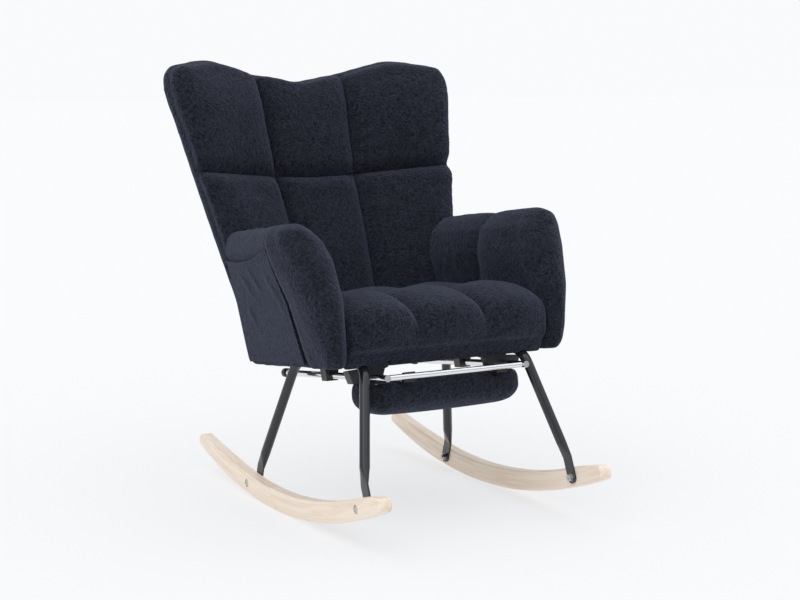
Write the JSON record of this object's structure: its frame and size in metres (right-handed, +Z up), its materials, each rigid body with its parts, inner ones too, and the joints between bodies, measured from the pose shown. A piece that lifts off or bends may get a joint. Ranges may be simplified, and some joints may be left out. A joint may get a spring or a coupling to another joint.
{
  "type": "wingback rocking chair",
  "caption": "Upholstered wingback rocking chair with padded arms and side pockets, bent metal legs on curved wooden runners, and a footrest pad that slides out and turns over.",
  "frame": {"origin": "on the floor, under the middle of the whole chair's bounding box", "axes": "+X to the sitter's left, +Y to the rear, +Z up; the chair stands leaned back as it does when empty"},
  "size_m": [0.715, 0.9332, 0.9496],
  "materials": {
    "runner_wood": "clear matt varnish on pale solid wood",
    "black_paint": "glossy black powder coat",
    "zinc_steel": "zinc plated",
    "plywood": "raw plywood",
    "lining_cloth": "thin woven dust cloth",
    "foam": "open upholstery foam",
    "pile_fabric": "charcoal short curled pile",
    "grey_plastic": "moulded mid grey plastic",
    "chrome": "bright chrome plate"
  },
  "bodies": {
    "chair": {"rocker_left": "runner_wood", "rocker_right": "runner_wood", "leg_frame_left": "black_paint", "leg_frame_right": "black_paint", "rocker_bolts": "zinc_steel", "rocker_washers": "zinc_steel", "rocker_nuts": "zinc_steel", "leg_frame_screws": "zinc_steel", "side_board_screws": "zinc_steel", "back_board_screws": "zinc_steel", "guide_screws": "zinc_steel", "seat_board": "plywood", "back_board": "plywood", "side_board_left": "plywood", "side_board_right": "plywood", "dust_cover": "lining_cloth", "seat_foam": "foam", "seat_cover": "pile_fabric", "back_cover": "pile_fabric", "arm_cover_left": "pile_fabric", "arm_cover_right": "pile_fabric", "side_pocket_left": "pile_fabric", "side_pocket_right": "pile_fabric", "front_guide_left": "grey_plastic", "front_guide_right": "grey_plastic", "rear_guide_left": "grey_plastic", "rear_guide_right": "grey_plastic"},
    "footrest_carriage": {"footrest_rail_left": "chrome", "footrest_rail_right": "chrome", "rail_plugs": "chrome", "rail_collars": "grey_plastic", "cross_tube": "chrome"},
    "footrest_pad": {"footrest_board": "plywood", "footrest_foam": "foam", "footrest_cover": "pile_fabric", "hinge_clip_screws": "zinc_steel", "hinge_clip_left": "black_paint", "hinge_clip_right": "black_paint"}
  },
  "joints": [
    {"name": "footrest_slide", "type": "slide", "parent": "chair", "child": "footrest_carriage", "axis": [0, -0.9914, 0.1305], "range_m": [0, 0.19]},
    {"name": "footrest_flip", "type": "hinge", "parent": "footrest_carriage", "child": "footrest_pad", "pos_m": [0, -0.29926, 0.32134], "axis": [-1, 0, 0], "range_deg": [0, 180]}
  ]
}
